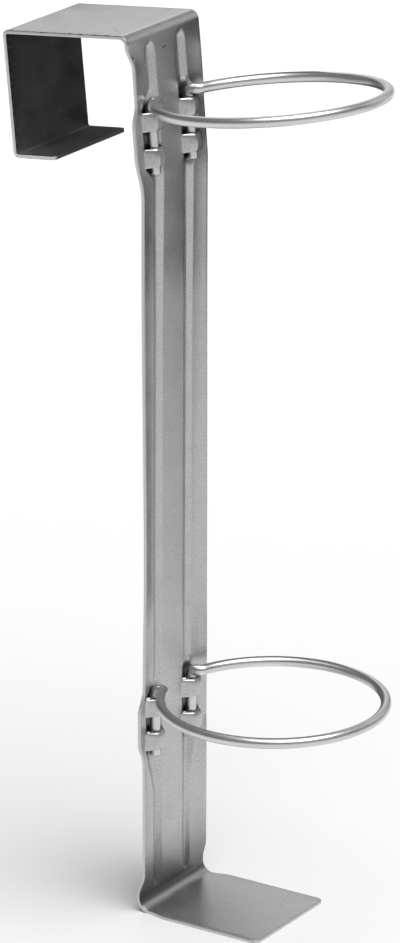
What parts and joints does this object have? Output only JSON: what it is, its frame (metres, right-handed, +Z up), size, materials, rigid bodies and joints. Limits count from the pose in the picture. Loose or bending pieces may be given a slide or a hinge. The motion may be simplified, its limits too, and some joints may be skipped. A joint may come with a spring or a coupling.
{
  "type": "gas cylinder bracket",
  "caption": "Hanging bracket for a small gas cylinder: folded steel strip with a hook and foot, and wire hoops that hold the cylinder upright.",
  "frame": {"origin": "where the lower hoop's axis, the cylinder's axis, meets the top face of the foot", "axes": "+Z up along the strip's long run, -Y forwards to the hoops, +Y back to the hook, +X to the right seen from the front"},
  "size_m": [0.1246, 0.2093, 0.4824],
  "materials": {
    "strip_steel": "satin, fine mottled zinc grain",
    "ring_wire": "bright drawn wire"
  },
  "bodies": {
    "root": {"bracket_strip": "strip_steel", "upper_ring": "ring_wire", "lower_ring": "ring_wire"}
  },
  "joints": []
}
